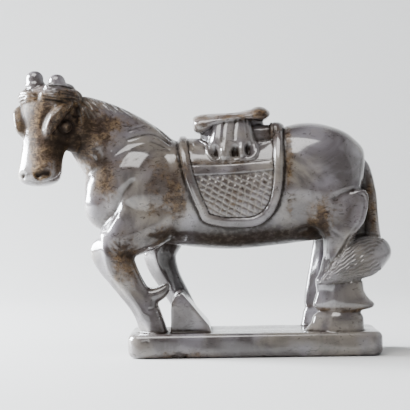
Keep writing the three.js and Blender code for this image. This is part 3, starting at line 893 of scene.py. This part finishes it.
@dataclass(frozen=True)
class Carver:
    """The lines cut by hand, the rows of spots where the stone is stained, and the rows of spots that paint
    shade onto it.

    All are drawn on the near side, in X and Z, and are mirrored on the far side.
    """

    body: tuple[Cut, ...] = (
        Cut(((-50, 85.2), (-45.8, 86.6), (-41.1, 87.6), (-38, 87.2), (-34.9, 85.6), (-31.4, 82.4)), 0.6, 0.5),
        Cut(((-49.4, 88.8), (-45, 90.2), (-41.6, 91.2)), 0.5, 0.35),
        Cut(((-41, 85), (-36, 83), (-31.6, 80.4)), 0.6, 0.3),
        Cut(((-59.6, 48.6), (-55.6, 55), (-52.6, 61.4), (-50.2, 65.2), (-45, 70.4)), 1.8, 1.05),
        Cut(((-52.4, 54.4), (-50.6, 56.4), (-49, 59.4)), 1.8, -0.35),
        Cut(((-58.6, 44.6), (-55.8, 33.8), (-50.6, 26.8), (-45.8, 20.8), (-43, 14.6)), 1.3, -0.6),
        Cut(((26.8, 44.4), (25.1, 48), (21.2, 49.9), (16, 48.6)), 1.0, 0.45),
        Cut(((-26.6, 66), (-27.6, 57), (-31, 50.6), (-37, 47.4), (-43, 46)), 2.4, 0.5),
        Cut(((30, 60.4), (34.4, 63), (40, 64.8)), 1.2, 0.5),
        Cut(((38.6, 48.4), (34.4, 41.8), (30.4, 34.8), (27.2, 29.2)), 0.7, 0.6),
        Cut(((41, 63), (43, 61.6), (42.8, 57), (41.2, 52), (38, 48)), 0.7, 0.3),
        Cut(((-41.8, 18.8), (-39.4, 19.4), (-36.4, 20.4)), 0.7, 0.4),
        Cut(((-33, 0.4), (-29.6, 1.3), (-26.4, 0.5)), 1.0, 0.6),
        Cut(((-44, 6.6), (-42.4, 6.9), (-41.2, 6.4)), 0.4, 0.3),
    )
    crest: Path2D = (
        (-68, 104.4), (-64, 103.8), (-60, 102.6), (-55.5, 101.4), (-51.5, 100.4), (-47, 98.6), (-43, 96),
        (-38.6, 91.8), (-34.4, 87.6),
    )
    strokes: int = 34
    stroke_width: float = 0.34
    stroke_depth: float = 0.34
    stroke_score: float = 0.3
    lock_width: float = 0.32
    lock_depth: float = 0.6
    lock_score: float = 0.1
    poll: tuple[Path2D, ...] = (
        ((-68, 100.6), (-66.8, 97.8), (-65.8, 94.6)),
        ((-68.2, 98), (-67.2, 94.6), (-66.6, 91.6)),
        ((-66.2, 99), (-64.8, 96.4), (-63.6, 93.8)),
        ((-64.4, 98), (-62.8, 96), (-61.2, 93.8)),
        ((-62.2, 97), (-60.2, 95.4), (-58.2, 94)),
    )
    face: tuple[Cut | Ring | Spot, ...] = (
        Ring(-72.5, 90.6, 2.5, 0.42, 0.25),
        Ring(-72.5, 90.6, 3.5, 0.6, -0.12),
        Cut(((-70.4, 94.8), (-68, 95), (-65.6, 96.2)), 0.45, 0.35),
        Cut(((-76, 85.8), (-73, 83.9), (-69.8, 84.6), (-67.2, 87.6)), 0.9, 0.25),
        Cut(((-70.6, 96.6), (-73.6, 95), (-75.6, 92.6), (-76.6, 89.8), (-77, 87)), 0.7, 0.4),
        Cut(((-70, 100), (-75.4, 98.9), (-79.2, 96), (-81.2, 92.4), (-81.8, 89)), 0.9, 0.3),
        Cut(((-91, 71.6), (-85.3, 69.2), (-80.6, 69), (-76, 70.6), (-73.4, 74)), 0.4, 0.3),
        Cut(((-84.4, 70.9), (-81.6, 72.3), (-78, 72.3)), 1.2, 1.3),
        Cut(((-84.9, 73.4), (-81.3, 75.1), (-77.6, 74.7), (-75.8, 72)), 0.8, -0.15),
    )
    locks: tuple[Path2D, ...] = (
        ((-81.6, 102.7), (-77.8, 102), (-74, 101.4), (-67, 101.2)),
        ((-81, 101.2), (-76.3, 100.6), (-69.6, 99.9)),
        ((-81.2, 104), (-76.3, 103.8), (-71.6, 103.2), (-66.4, 101.8)),
        ((-78.6, 105.1), (-73.9, 104.8), (-68.6, 103.4)),
        ((-79.4, 106.4), (-74.6, 106.6), (-69.6, 105.6)),
    )
    skirt: tuple[Cut | Spot, ...] = (
        Cut(((-10.8, 92.6), (-11.5, 87.2), (-11.8, 83.4)), 0.55, 0.32),
        Cut(((-6.2, 93.4), (-7.2, 87.6), (-7.2, 84.4)), 0.55, 0.32),
        Cut(((-2.5, 93.6), (-2.2, 88.4), (-1.8, 85.2)), 0.55, 0.32),
        Spot(-15, 79.3, 1.8, 3.1, 2.3), Spot(-6.9, 79.6, 1.7, 2.8, 2.2), Spot(-1.5, 81, 1.5, 2.5, 2.0),
        Spot(-18.4, 80, 1.2, 2.8, -0.8), Spot(-11, 79.6, 1.5, 3, -0.9), Spot(-4.2, 80.4, 1.2, 2.6, -0.8),
        Spot(1.4, 81.8, 1.1, 2.2, -0.7),
    )
    # Spots of painted shade: under the belly, on the far foreleg, the thigh, the rock and the foot of the
    # base, in the eye, the nostrils and the cheek, and over the lit brow and forehead to darken them. The
    # negative spot keeps the eyeball lighter.
    painted_shade_and_dirt: tuple[Row, ...] = (
        (-72.5, 90.4, 3.2, 3, 1.7), (-72.6, 90.9, 1.7, 1.7, -1.3), (-89.4, 97, 3.2, 7, 0.35),
        (-81.3, 72.2, 3.2, 1.7, 0.85), (-88.4, 71.8, 2.4, 1.1, 1.2), (-76, 105.5, 6, 1.1, 0.6),
        (-68, 102.6, 4, 3.4, 0.4), (-72, 84, 6, 6, 0.95), (-79.8, 94, 3, 4.4, 0.35),
        (-87.4, 93, 3.4, 8, 0.3), (-52, 44, 8, 8, 0.16), (-8, 94.6, 16, 3, 0.2), (-68, 95, 4.4, 3.6, 0.5),
        (-64.6, 92, 1.8, 9, 0.7), (-77, 80, 3.2, 8, 0.5), (0, 46, 36, 7, 1.1), (-31, 14, 7, 8, 0.55),
        (-4, 4, 70, 6, 0.33), (-47, 42, 6, 8, 0.4), (-34.6, 34, 3.6, 12, 0.85), (22, 28, 2.6, 16, 0.45),
        (31, 55, 10, 9, 0.3), (-34, 47, 8, 3, 0.45), (-60, 76, 3, 8, 0.3), (24, 46, 4, 5, 0.4),
        (46, 44, 4, 4, 0.4), (-21, 86, 3, 3, 0.6), (4, 88.5, 5, 3.4, 0.5),
    )
    stains: tuple[Row, ...] = (
        (-80, 93, 14, 14, 0.62), (-77, 79, 4, 9, 0.5), (-70, 85, 8, 8, 0.5), (-82.8, 82, 3.4, 14, 0.85),
        (-81.5, 72.2, 3.4, 1.8, 0.8), (-63, 95, 10, 8, 0.45), (-56, 88, 6, 5, 0.3), (-50, 92, 14, 3.4, 0.3),
        (-46, 76, 9, 3, 0.3), (-40, 58, 5, 4, 0.3), (-62, 80, 8, 14, 0.45), (-57.5, 66, 5, 10, 0.5),
        (-35, 68, 8, 11, 0.42), (-29.7, 60, 4, 8, 0.5), (-50, 38, 7, 11, 0.6), (-36, 48, 8, 4, 0.5),
        (-26, 77, 5, 8, 0.3), (25, 55, 5, 6, 0.35), (24, 48, 6, 4, 0.35), (48, 60, 4, 16, 0.5),
        (14.2, 74, 1.6, 20, 0.65), (8, 88, 5, 4, 0.45), (-86, 96, 8, 8, 0.38), (-72.6, 91, 4, 4.4, 0.5),
        (-72.6, 90.9, 1.6, 1.6, -0.9), (-70, 102, 6, 4, 0.5), (30, 57, 13, 9, 0.28),
        (-6, 94.6, 14, 2.6, 0.5), (-31, 16, 7, 8, 0.2), (-6, 63, 16, 10, 0.35), (4, 96.6, 4, 4, 0.55),
        (-20, 92, 4, 4, 0.4), (-12, 76, 14, 1.4, 0.5), (2, 45, 34, 4.5, 0.25), (-30, 1.5, 14, 2, 0.45),
        (-6, 10.2, 44, 0.9, 0.15), (34, 18, 14, 1.2, 0.5),
    )
    blur_steps: tuple[int, int] = (6, 40)
    # How deep a fine line or a broad recess must be to take full painted shade and dirt.
    fine_dirt_and_shade: float = 0.14
    broad_shade_and_dirt: float = 0.75

    def mane(self) -> list[Path2D]:
        """Draw the mane's strokes, which hang from the crest and shorten towards the withers.

        Returns:
            The strokes.
        """
        crest = catmull_rom(np.array(self.crest, dtype=float), np.linspace(0, 1, self.strokes))
        drawn = list(self.poll)
        for index, (x, z) in enumerate(crest):
            part = index / (self.strokes - 1)
            length = (7.6 - 4.4 * part) * (1 + 0.22 * math.sin(2.7 * index))
            lean = math.radians(52 - 8 * part + 6 * math.sin(1.9 * index))
            dx, dz = length * math.cos(lean), length * math.sin(lean)
            drawn.append(((x, z), (x + 0.35 * dx, z - 0.5 * dz), (x + dx, z - dz)))
        return drawn


@dataclass(frozen=True)
class Horse:
    """The whole carving."""

    base: Base = Base()
    body: Body = Body()
    forelegs: Forelegs = Forelegs()
    rock: Rock = Rock()
    hind_legs: HindLegs = HindLegs()
    tail: Tail = Tail()
    saddle: Saddle = Saddle()
    head: Head = Head()
    cloth: SaddleCloth = SaddleCloth()
    carver: Carver = Carver()

    def block(self) -> bpy.types.Mesh:
        """Rough out the carving.

        Returns:
            One closed skin.
        """
        flesh = fuse(self.body.forms() + self.forelegs.forms() + self.hind_legs.forms(), FLESH_VOXEL)
        soft = Skin(flesh)
        lower = smoothstep(38, 52, soft.points[:, 2])
        soft.polish(FLESH_POLISH, 0.25 + 0.75 * lower)
        soft.write()
        skull = fuse(self.head.skull(), FLESH_VOXEL)
        soft = Skin(skull)
        soft.polish(SKULL_POLISH)
        normal = soft.normals()
        x, facing = self.head.side_view(soft.points, normal)
        cx, cz, rx, rz, depth = self.head.socket
        bowl = np.exp(-(((x - cx) / rx) ** 2) - ((soft.points[:, 2] - cz) / rz) ** 2)
        soft.push(-depth * bowl * smoothstep(0.1, 0.4, facing))
        soft.write()
        forms = [flesh, skull, *self.head.features(), *self.hind_legs.fins()]
        for part in (self.base, self.rock, self.tail, self.saddle):
            forms += part.forms()
        return fuse(forms, SKIN_VOXEL)

    def carve(self, skin: Skin) -> np.ndarray:
        """Cut the cloth, the hair and the carver's lines into the skin.

        Args:
            skin: The rough skin.

        Returns:
            How strongly each point is scored, from 0 to 1.
        """
        carver = self.carver
        skin.polish(SKIN_POLISH)
        x, y, z = skin.points.T
        normal = skin.normals()
        sideways = smoothstep(0.05, 0.35, np.abs(normal[:, 1]))
        on_back = smoothstep(0.1, 0.4, np.maximum(np.abs(normal[:, 1]), normal[:, 2]))
        trunk = (x > TRUNK_BOX[0]) & (x < TRUNK_BOX[1]) & (z > TRUNK_BOX[2])
        bare = self.body.clearance(x, y, z)
        behind_head = smoothstep(-70.5, -68.5, x)
        height, scored = np.zeros(len(x)), np.zeros(len(x))
        height[trunk] = self.cloth.relief(x[trunk], z[trunk]) * (on_back * bare)[trunk]
        scored[trunk] = self.cloth.lattice(x[trunk], z[trunk]) * (on_back * bare)[trunk]
        for path in carver.mane():
            stroke = Cut(path, carver.stroke_width, 1).at(x, z) * sideways * behind_head
            height -= carver.stroke_depth * stroke
            scored += carver.stroke_score * stroke
        for cut in carver.body:
            height -= cut.at(x, z) * sideways * behind_head
        for mark in carver.skirt:
            height -= mark.at(x, z) * sideways * (1 - bare)
        x_from, x_to, z_from, z_to = self.tail.brush_box
        brush = np.flatnonzero((x > x_from) & (x < x_to) & (z > z_from) & (z < z_to))
        combed = self.tail.hair(skin.points[brush])
        height[brush] -= self.tail.strand_depth * combed
        scored[brush] += self.tail.strand_score * combed
        head = np.flatnonzero((x < HEAD_FROM) & (z > HEAD_OVER))
        side_x, facing = self.head.side_view(skin.points[head], normal[head])
        seen = smoothstep(0.1, 0.45, facing)
        muzzle = z[head] < MUZZLE_UNDER
        seen[muzzle] *= smoothstep(-91.6, -87.4, x[head][muzzle])
        for mark in carver.face:
            height[head] -= mark.at(side_x, z[head]) * seen
        swell = np.sin(0.23 * x + 0.31 * z) * np.sin(0.19 * y + 0.4)
        height += 0.1 * (swell + np.sin(0.41 * z - 0.29 * y + 1.1))
        for path in carver.locks:
            stroke = Cut(path, carver.lock_width, 1).at(side_x, z[head]) * seen
            height[head] -= carver.lock_depth * stroke
            scored[head] += carver.lock_score * stroke
        skin.push(height)
        skin.polish(1, 0.4)
        skin.points[:, 2] = np.maximum(skin.points[:, 2], 0)
        return np.clip(scored, 0, 1)

    def build(self) -> bpy.types.Object:
        """Make the carving in metres.

        Returns:
            The one piece.
        """
        skin = Skin(self.block())
        log.info("rough skin: %d vertices", len(skin.points))
        scored = self.carve(skin)
        skin.write()
        wear_and_shade = self.wear_and_shade(skin, scored)
        fine = skin.mesh
        carrier = bpy.data.objects.new("carrier", fine.copy())
        bpy.context.scene.collection.objects.link(carrier)
        reduce = carrier.modifiers.new("Reduce", "DECIMATE")
        reduce.ratio = min(1.0, TRIANGLES / (2 * len(fine.polygons)))
        reduce.use_collapse_triangulate = True
        mesh = applied(carrier)
        self.mark(mesh, skin, wear_and_shade)
        bpy.data.meshes.remove(fine)
        mesh.transform(Matrix.Scale(METRE, 4))
        for polygon in mesh.polygons:
            polygon.use_smooth = True
        mesh.name = "horse_carving"
        piece = bpy.data.objects.new("horse_carving", mesh)
        bpy.context.scene.collection.objects.link(piece)
        log.info("horse_carving: %d triangles", len(mesh.polygons))
        return piece

    def wear_and_shade(self, skin: Skin, scored: np.ndarray) -> dict[str, np.ndarray]:
        """Find where the stone is scored and stained, and where shade is painted into its grooves and hollows
        along with dirt.

        Args:
            skin: The finished skin.
            scored: How strongly each point is scored.

        Returns:
            The masks by name.
        """
        carver, normal, blurred, depths = self.carver, skin.normals(), skin.points, []
        for steps in carver.blur_steps:
            for _ in range(steps):
                blurred = blurred + 0.5 * (skin.around(blurred) - blurred)
            depths.append(np.einsum("ij,ij->i", blurred - skin.points, normal))
        fine, broad = depths
        x, _, z = skin.points.T
        stain = sum(Spot(*row).at(x, z) for row in carver.stains)
        painted_shade_and_dirt = sum(Spot(*row).at(x, z) for row in carver.painted_shade_and_dirt)
        # groove and hollow are painted shade with some dirt: the carved lines, the recesses found by blurring
        # the skin, and the listed spots.
        return {
            "groove": np.clip(fine / carver.fine_dirt_and_shade, 0, 1) * (1 - scored),
            "hollow": np.clip(broad / carver.broad_shade_and_dirt + painted_shade_and_dirt, 0, 1),
            "scored": scored,
            "stain": np.clip(stain, 0, 1),
        }

    def mark(self, mesh: bpy.types.Mesh, skin: Skin, masks: dict[str, np.ndarray]) -> None:
        """Copy masks from the fine skin.

        Args:
            mesh: The finished mesh, which takes them.
            skin: The fine skin.
            masks: The masks by name.
        """
        tree = kdtree.KDTree(len(skin.points))
        for index, point in enumerate(skin.points):
            tree.insert(point, index)
        tree.balance()
        nearest = [tree.find(vertex.co)[1] for vertex in mesh.vertices]
        for name, values in masks.items():
            layer = mesh.attributes.new(name, "FLOAT", "POINT")
            layer.data.foreach_set("value", values[nearest].astype(np.float32))


# The stone


@dataclass(frozen=True)
class StoneFinish:
    """The colours and the gloss of the stone."""

    pale: Row = (0.136, 0.125, 0.137, 1)
    cream: Row = (0.158, 0.139, 0.119, 1)
    grey: Row = (0.052, 0.044, 0.044, 1)
    brown: Row = (0.03, 0.0175, 0.011, 1)
    ochre: Row = (0.13, 0.083, 0.043, 1)
    # Near-black for specks, streaks and pits, and for the shade painted into grooves and recesses.
    dirt_and_shade_tone: Row = (0.01, 0.0055, 0.003, 1)
    score: Row = (0.23, 0.205, 0.18, 1)
    roughness: float = 0.18
    specular: float = 0.1
    coat: float = 0.95
    coat_roughness: float = 0.11
    coat_ior: float = 1.75
    bump: float = 0.5
    bump_height: float = 0.0002


class Nodes:
    """A short way to write a node tree."""

    def __init__(self, tree: bpy.types.NodeTree) -> None:
        """Take a tree.

        Args:
            tree: The tree that nodes are added to.
        """
        self.tree = tree
        self.times = partial(self.math, "MULTIPLY")
        self.plus = partial(self.math, "ADD")

    def add(self, kind: str, inputs: dict | None = None, **settings: object) -> bpy.types.Node:
        """Add a node.

        Args:
            kind: Its type.
            inputs: Values or sockets by the inputs' names or numbers.
            **settings: Its own settings.

        Returns:
            The node.
        """
        node = self.tree.nodes.new(kind)
        for name, value in settings.items():
            setattr(node, name, value)
        for key, value in (inputs or {}).items():
            if isinstance(value, Socket):
                self.tree.links.new(value, node.inputs[key])
            else:
                node.inputs[key].default_value = value
        return node

    def ramp(self, value: Socket, low: float, high: float) -> Socket:
        """Ease a value from 0 at low to 1 at high."""
        inputs = {"Value": value, "From Min": low, "From Max": high}
        return self.add("ShaderNodeMapRange", inputs, interpolation_type="SMOOTHSTEP").outputs[0]

    def noise(self, vector: Socket, scale: float, detail: float = 3, twist: float = 0) -> Socket:
        """Read noise at a vector, with its octaves as detail and its distortion as twist."""
        inputs = {"Vector": vector, "Scale": scale, "Detail": detail, "Distortion": twist}
        return self.add("ShaderNodeTexNoise", inputs).outputs["Fac"]

    def math(self, operation: str, a: Socket | float, b: Socket | float, clamp: bool = True) -> Socket:
        """Combine two values, and keep the result between 0 and 1 where clamp is set."""
        return self.add("ShaderNodeMath", {0: a, 1: b}, operation=operation, use_clamp=clamp).outputs[0]

    def mix(self, amount: Socket | float, a: Socket | Row, b: Socket | Row) -> Socket:
        """Mix two colours by the amount of the second."""
        return self.add("ShaderNodeMix", {0: amount, 6: a, 7: b}, data_type="RGBA").outputs[2]


def mottled_stone(finish: StoneFinish) -> bpy.types.NodeTree:
    """Make the group that colours the stone.

    Args:
        finish: The colours.

    Returns:
        A group that turns a position in millimetres and the skin's masks into colours and values.
    """
    tree = bpy.data.node_groups.new("Mottled stone", "ShaderNodeTree")
    tree.interface.new_socket("Position", in_out="INPUT", socket_type="NodeSocketVector")
    for name in MASKS:
        tree.interface.new_socket(name, in_out="INPUT", socket_type="NodeSocketFloat")
    for name, kind in (("Color", "Color"), ("Roughness", "Float"), ("Gloss", "Float"), ("Height", "Float")):
        tree.interface.new_socket(name, in_out="OUTPUT", socket_type=f"NodeSocket{kind}")
    net = Nodes(tree)
    given = net.add("NodeGroupInput").outputs
    place, stain = given["Position"], given["stain"]

    # Clouds of grey, lavender and cream
    cloudy = net.ramp(net.noise(place, 0.07, 5, 0.8), 0.36, 0.64)
    warm = net.ramp(net.noise(place, 0.045, 3), 0.42, 0.62)
    color = net.mix(cloudy, finish.grey, net.mix(warm, finish.pale, finish.cream))

    # Stains, which are a thin wash with ragged patches in it
    veins, specks = net.noise(place, 0.2, 7, 1.2), net.noise(place, 0.7, 6, 0.6)
    ragged = net.plus(net.times(veins, 0.85), net.times(specks, 0.5), clamp=False)
    stained = net.ramp(net.plus(net.times(stain, 0.7), ragged, clamp=False), 0.84, 1.18)
    tone = net.ramp(net.noise(place, 0.24, 6, 0.6), 0.34, 0.68)
    grain = net.ramp(net.noise(place, 1.7, 5, 0.4), 0.44, 0.6)
    tint = net.mix(net.times(grain, 0.5), net.mix(tone, finish.brown, finish.ochre), finish.dirt_and_shade_tone)
    color = net.mix(net.times(stain, 0.55), color, net.mix(0.35, finish.ochre, tint))
    color = net.mix(net.times(stained, 0.85), color, tint)

    # Dark streaks along the stone's grain
    flow = {"Vector": place, "Rotation": (0, 0.9, 0.3), "Scale": (0.55, 0.8, 1.1)}
    streaks = net.noise(net.add("ShaderNodeMapping", flow).outputs[0], 0.6, 8, 1.6)
    streaks = net.ramp(net.plus(streaks, net.times(stain, 0.14), clamp=False), 0.58, 0.74)
    color = net.mix(net.times(streaks, 0.7), color, finish.dirt_and_shade_tone)

    # Painted shade with some dirt in the grooves, the recesses and the listed spots, pale scored lines and
    # dark pits
    uneven = net.ramp(net.noise(place, 0.55, 5), 0.3, 0.6)
    deep = net.times(given["hollow"], net.plus(net.times(uneven, 0.25), 0.7))
    fine = net.times(given["groove"], net.plus(net.times(uneven, 0.5), 0.25))
    painted_shade_and_dirt = net.plus(fine, deep)
    color = net.mix(painted_shade_and_dirt, color, finish.dirt_and_shade_tone)
    color = net.mix(net.times(given["scored"], 0.75), color, finish.score)
    pits = net.ramp(net.noise(place, 1.9, 2), 0.72, 0.78)
    color = net.mix(net.times(pits, 0.85), color, finish.dirt_and_shade_tone)

    # The polish, which goes dull where the stone is stained or scored and where shade and dirt are painted in
    rough = net.plus(net.times(painted_shade_and_dirt, 0.25), finish.roughness)
    for spread, amount in ((given["scored"], 0.3), (stained, 0.12), (net.noise(place, 0.8, 4), 0.14)):
        rough = net.plus(rough, net.times(spread, amount))
    gloss = net.math("SUBTRACT", 1.0, net.plus(net.times(stained, 0.85), net.times(painted_shade_and_dirt, 0.8)))
    waves = net.times(net.noise(place, 0.35, 3), 0.9)
    height = net.plus(waves, net.times(net.noise(place, 0.7, 1), 0.25), clamp=False)
    net.add("NodeGroupOutput", {"Color": color, "Roughness": rough, "Gloss": gloss, "Height": height})
    return tree


def stone_material(finish: StoneFinish) -> bpy.types.Material:
    """Make the stone's material.

    Args:
        finish: Its colours and gloss.

    Returns:
        The material.
    """
    material = bpy.data.materials.new("Grey jade")
    material.use_nodes = True
    material.node_tree.nodes.clear()
    net = Nodes(material.node_tree)
    spot = net.add("ShaderNodeTexCoord").outputs["Object"]
    place = net.add("ShaderNodeVectorMath", {0: spot, "Scale": 1 / METRE}, operation="SCALE").outputs[0]
    group = net.add("ShaderNodeGroup", node_tree=mottled_stone(finish))
    material.node_tree.links.new(place, group.inputs["Position"])
    for name in MASKS:
        mask = net.add("ShaderNodeAttribute", attribute_name=name).outputs["Fac"]
        material.node_tree.links.new(mask, group.inputs[name])
    made = group.outputs
    relief = {"Height": made["Height"], "Strength": finish.bump, "Distance": finish.bump_height}
    shader = net.add(
        "ShaderNodeBsdfPrincipled",
        {
            "Base Color": made["Color"],
            "Roughness": made["Roughness"],
            "Normal": net.add("ShaderNodeBump", relief).outputs[0],
            "Specular IOR Level": finish.specular,
            "Coat Weight": net.times(made["Gloss"], finish.coat),
            "Coat Roughness": finish.coat_roughness,
            "Coat IOR": finish.coat_ior,
        },
    )
    net.add("ShaderNodeOutputMaterial", {"Surface": shader.outputs[0]})
    return material


# The studio


def look_along(direction: np.ndarray) -> list[list[float]]:
    """Turn a light to shine along a direction.

    Args:
        direction: The direction.

    Returns:
        The rows of its rotation.
    """
    back = -direction / np.linalg.norm(direction)
    right = np.cross((0, 0, 1), back)
    right /= np.linalg.norm(right)
    return np.stack([right, np.cross(back, right), back], 1).tolist()


@dataclass(frozen=True)
class Studio:
    """The floor, the lights and the camera."""

    middle: Row = (0.2, -1.1)
    reach: float = 3.2
    bend_from: float = 1.5
    bend_radius: float = 0.5
    paint: Row = (0.5, 0.495, 0.485, 1)
    paint_roughness: float = 0.7
    lights: tuple[tuple[str, Row, float, float, Row], ...] = (
        ("window", (-0.72, 0.14, 0.3), 0.42, 74, (0.9, 0.95, 1)),
        ("front", (-0.3, -0.45, 0.9), 0.7, 13, (1, 0.98, 0.96)),
        ("right", (0.75, -0.1, 0.5), 0.9, 1.6, (0.95, 0.97, 1)),
    )
    lit_point: Row = (-0.015, 0, 0.06)
    sky: Row = (0.8, 0.85, 0.95, 1)
    sky_strength: float = 0.1
    eye: Row = (-0.0189, -0.62, 0.0594)
    view_angle: float = math.radians(15.07)
    roll: float = math.radians(-0.8)

    def backdrop(self) -> None:
        """Make the floor, which curves up all round."""
        bm = bmesh.new()
        bmesh.ops.create_grid(bm, x_segments=120, y_segments=120, size=self.reach)
        for vert in bm.verts:
            across = vert.co.length
            past = across - self.bend_from
            if past > 0:
                turn = min(past / self.bend_radius, math.pi / 2)
                rest = max(past - self.bend_radius * math.pi / 2, 0)
                vert.co *= (self.bend_from + self.bend_radius * math.sin(turn)) / across
                vert.co.z = self.bend_radius * (1 - math.cos(turn)) + rest
        bmesh.ops.translate(bm, vec=(*self.middle, 0), verts=bm.verts)
        mesh = as_mesh(bm, None)
        for polygon in mesh.polygons:
            polygon.use_smooth = True
        material = bpy.data.materials.new("Backdrop")
        material.use_nodes = True
        shader = material.node_tree.nodes["Principled BSDF"]
        shader.inputs["Base Color"].default_value = self.paint
        shader.inputs["Roughness"].default_value = self.paint_roughness
        mesh.materials.append(material)
        floor = bpy.data.objects.new("backdrop", mesh)
        bpy.context.scene.collection.objects.link(floor)

    def light(self, name: str, place: Row, size: float, power: float, color: Row) -> None:
        """Hang a square soft light that faces the carving.

        Args:
            name: Its name.
            place: Where it hangs.
            size: Its width.
            power: Its watts.
            color: Its colour.
        """
        lamp = bpy.data.lights.new(name, "AREA")
        lamp.size, lamp.energy, lamp.color = size, power, color
        holder = bpy.data.objects.new(name, lamp)
        aim = np.array(self.lit_point) - np.array(place)
        holder.matrix_world = Matrix.Translation(place) @ Matrix(look_along(aim)).to_4x4()
        bpy.context.scene.collection.objects.link(holder)

    def set_up(self) -> None:
        """Build the floor, the lights, the surroundings and the camera."""
        self.backdrop()
        for lamp in self.lights:
            self.light(*lamp)
        world = bpy.data.worlds.new("studio")
        world.use_nodes = True
        sky = world.node_tree.nodes["Background"]
        sky.inputs["Color"].default_value = self.sky
        sky.inputs["Strength"].default_value = self.sky_strength
        bpy.context.scene.world = world
        camera = bpy.data.cameras.new("camera")
        camera.sensor_width = 36
        camera.lens = 18 / math.tan(self.view_angle / 2)
        holder = bpy.data.objects.new("camera", camera)
        level = Matrix.Translation(self.eye) @ Matrix.Rotation(math.pi / 2, 4, "X")
        holder.matrix_world = level @ Matrix.Rotation(self.roll, 4, "Z")
        bpy.context.scene.collection.objects.link(holder)
        bpy.context.scene.camera = holder


def main() -> None:
    """Build the carving and its studio."""
    logging.basicConfig(level=logging.INFO, format="%(name)s: %(message)s")
    piece = Horse().build()
    piece.data.materials.append(stone_material(StoneFinish()))
    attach(piece, "root")
    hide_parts("horse_carving")
    Studio().set_up()


if __name__ == "__main__":
    main()
